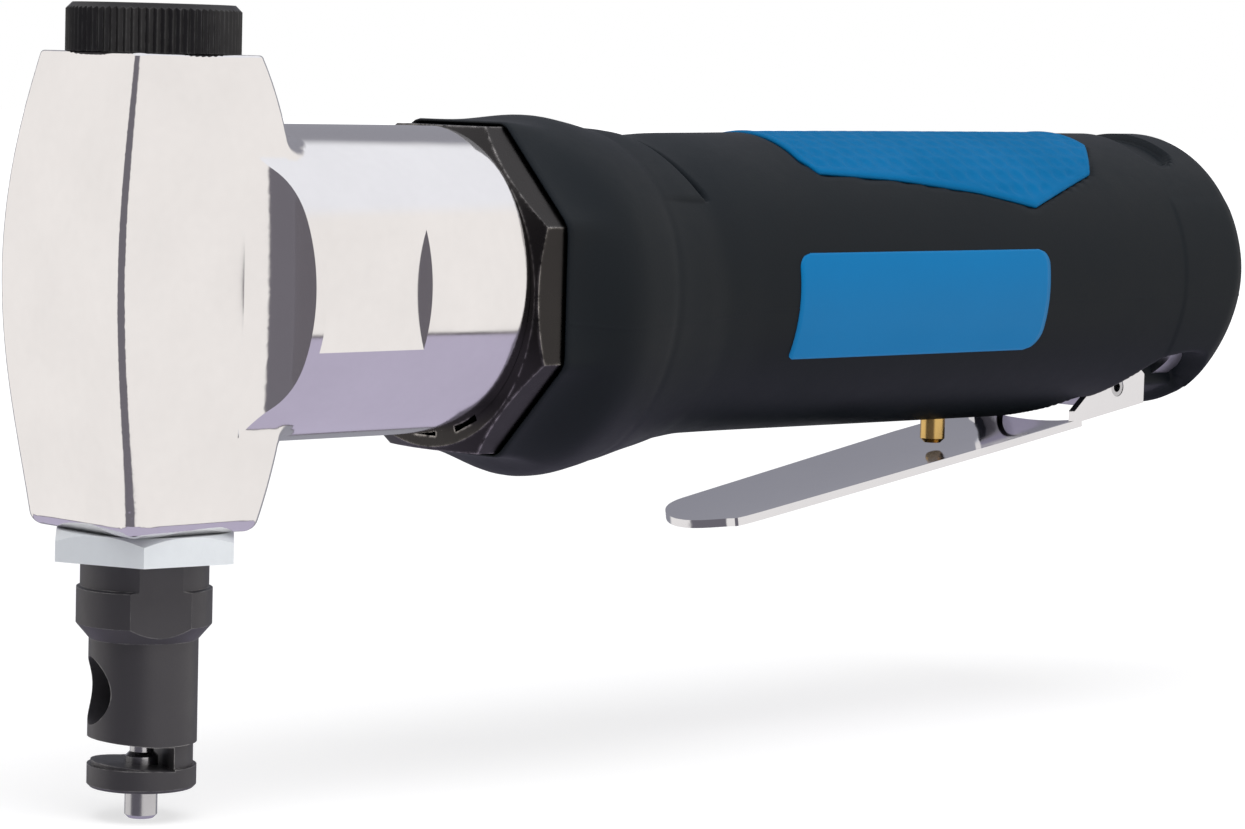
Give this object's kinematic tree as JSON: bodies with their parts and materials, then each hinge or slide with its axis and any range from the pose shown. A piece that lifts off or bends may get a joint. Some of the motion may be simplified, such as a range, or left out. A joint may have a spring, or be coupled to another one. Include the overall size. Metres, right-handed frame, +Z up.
{
  "type": "nibbler tool",
  "caption": "Pneumatic angle-head nibbler with a polished head, a slotted punch-and-die nose, a moulded grip and a squeeze lever under the handle.",
  "frame": {"origin": "on the punch axis, at the underside of the die foot", "axes": "+X back along the handle, +Z up along the ram, -Y is the side with the near label"},
  "size_m": [0.2251, 0.0534, 0.1112],
  "materials": {
    "polished_aluminium": "polished",
    "black_knurled": "black finish, satin",
    "seal_rubber": "matte",
    "bronze": "turned",
    "ground_steel": "ground",
    "black_oxide": "black oxide, satin",
    "zinc_plate": "bright zinc plate",
    "gear_steel": "machined",
    "vane_composite": "matte",
    "cast_iron": "machined",
    "black_chrome": "black chrome",
    "bare_aluminium": "as cast",
    "grip_rubber": "satin moulded rubber",
    "inlay_rubber": "satin moulded rubber",
    "label_film": "semi-gloss film",
    "chrome": "bright chrome",
    "brass": "turned brass",
    "spring_steel": "drawn wire",
    "inlet_steel": "nickel plate"
  },
  "bodies": {
    "tool_body": {"angle_head": "polished_aluminium", "ram_cap": "black_knurled", "cap_seal": "seal_rubber", "ram_bushes": "bronze", "die_locknut": "zinc_plate", "crank_bearing_outer_races": "ground_steel", "ring_gear": "gear_steel", "motor_front_plate": "cast_iron", "motor_cylinder": "cast_iron", "motor_rear_plate": "cast_iron", "rotor_bearing_outer_races": "ground_steel", "front_collar": "black_chrome", "motor_housing": "bare_aluminium", "grip_sleeve": "grip_rubber", "grip_inlay": "inlay_rubber", "side_labels": "label_film", "lever_pin": "ground_steel", "valve_bush": "brass", "inlet_bush": "inlet_steel", "inlet_screen": "brass"},
    "die_tool": {"die": "black_oxide"},
    "ram_group": {"ram": "ground_steel", "punch": "ground_steel", "punch_pin": "ground_steel"},
    "crank": {"crank_carrier": "ground_steel", "planet_pins": "ground_steel", "crank_bearing_inner_races": "ground_steel"},
    "roller": {"crank_roller": "ground_steel"},
    "planet_1": {"planet_gear_1": "gear_steel"},
    "planet_2": {"planet_gear_2": "gear_steel"},
    "planet_3": {"planet_gear_3": "gear_steel"},
    "crank_balls": {"crank_bearing_balls": "ground_steel"},
    "rotor": {"rotor_shaft": "gear_steel", "rotor_vanes": "vane_composite", "rotor_bearing_inner_races": "ground_steel"},
    "rotor_balls": {"rotor_bearing_balls": "ground_steel"},
    "lever": {"trigger_lever": "chrome"},
    "valve": {"valve_stem": "brass", "valve_seal": "seal_rubber", "valve_spring": "spring_steel"}
  },
  "joints": [
    {"name": "rotor_spin", "type": "hinge", "parent": "tool_body", "child": "rotor", "pos_m": [0.05, 0, 0.0687], "axis": [1, 0, 0], "continuous": true},
    {"name": "rotor_ball_orbit", "type": "hinge", "parent": "tool_body", "child": "rotor_balls", "pos_m": [0.05, 0, 0.0687], "axis": [1, 0, 0], "continuous": true},
    {"name": "crank_spin", "type": "hinge", "parent": "tool_body", "child": "crank", "pos_m": [0.0095, 0, 0.0687], "axis": [1, 0, 0], "continuous": true},
    {"name": "crank_ball_orbit", "type": "hinge", "parent": "tool_body", "child": "crank_balls", "pos_m": [0.02, 0, 0.0687], "axis": [1, 0, 0], "continuous": true},
    {"name": "roller_spin", "type": "hinge", "parent": "crank", "child": "roller", "pos_m": [0.004, 0, 0.0667], "axis": [1, 0, 0], "continuous": true},
    {"name": "planet_1_spin", "type": "hinge", "parent": "crank", "child": "planet_1", "pos_m": [0.0364, 0.00945, 0.0687], "axis": [1, 0, 0], "continuous": true},
    {"name": "planet_2_spin", "type": "hinge", "parent": "crank", "child": "planet_2", "pos_m": [0.0364, -0.00473, 0.07688], "axis": [1, 0, 0], "continuous": true},
    {"name": "planet_3_spin", "type": "hinge", "parent": "crank", "child": "planet_3", "pos_m": [0.0364, -0.00473, 0.06052], "axis": [1, 0, 0], "continuous": true},
    {"name": "ram_stroke", "type": "slide", "parent": "tool_body", "child": "ram_group", "axis": [0, 0, 1], "range_m": [0, 0.004]},
    {"name": "die_swivel", "type": "hinge", "parent": "tool_body", "child": "die_tool", "pos_m": [0, 0, 0.04], "axis": [0, 0, 1], "range_deg": [-180, 180]},
    {"name": "lever_squeeze", "type": "hinge", "parent": "tool_body", "child": "lever", "pos_m": [0.1905, 0, 0.0491], "axis": [0, 1, 0], "range_deg": [0, 5.5], "stiffness_Nm_per_rad": 2, "springref_deg": -5.73},
    {"name": "valve_lift", "type": "slide", "parent": "tool_body", "child": "valve", "axis": [0, 0, 1], "range_m": [0, 0.0032], "deforming": ["valve_spring"]}
  ],
  "couplings": [
    {"joint": "rotor_ball_orbit", "follows": "rotor_spin", "ratio": 0.40017},
    {"joint": "crank_spin", "follows": "rotor_spin", "ratio": 0.22222},
    {"joint": "crank_ball_orbit", "follows": "rotor_spin", "ratio": 0.087744},
    {"joint": "roller_spin", "follows": "rotor_spin", "ratio": -0.22222},
    {"joint": "planet_1_spin", "follows": "rotor_spin", "ratio": -0.62222},
    {"joint": "planet_2_spin", "follows": "rotor_spin", "ratio": -0.62222},
    {"joint": "planet_3_spin", "follows": "rotor_spin", "ratio": -0.62222},
    {"joint": "valve_lift", "follows": "lever_squeeze", "m_per_rad": 0.0322}
  ]
}
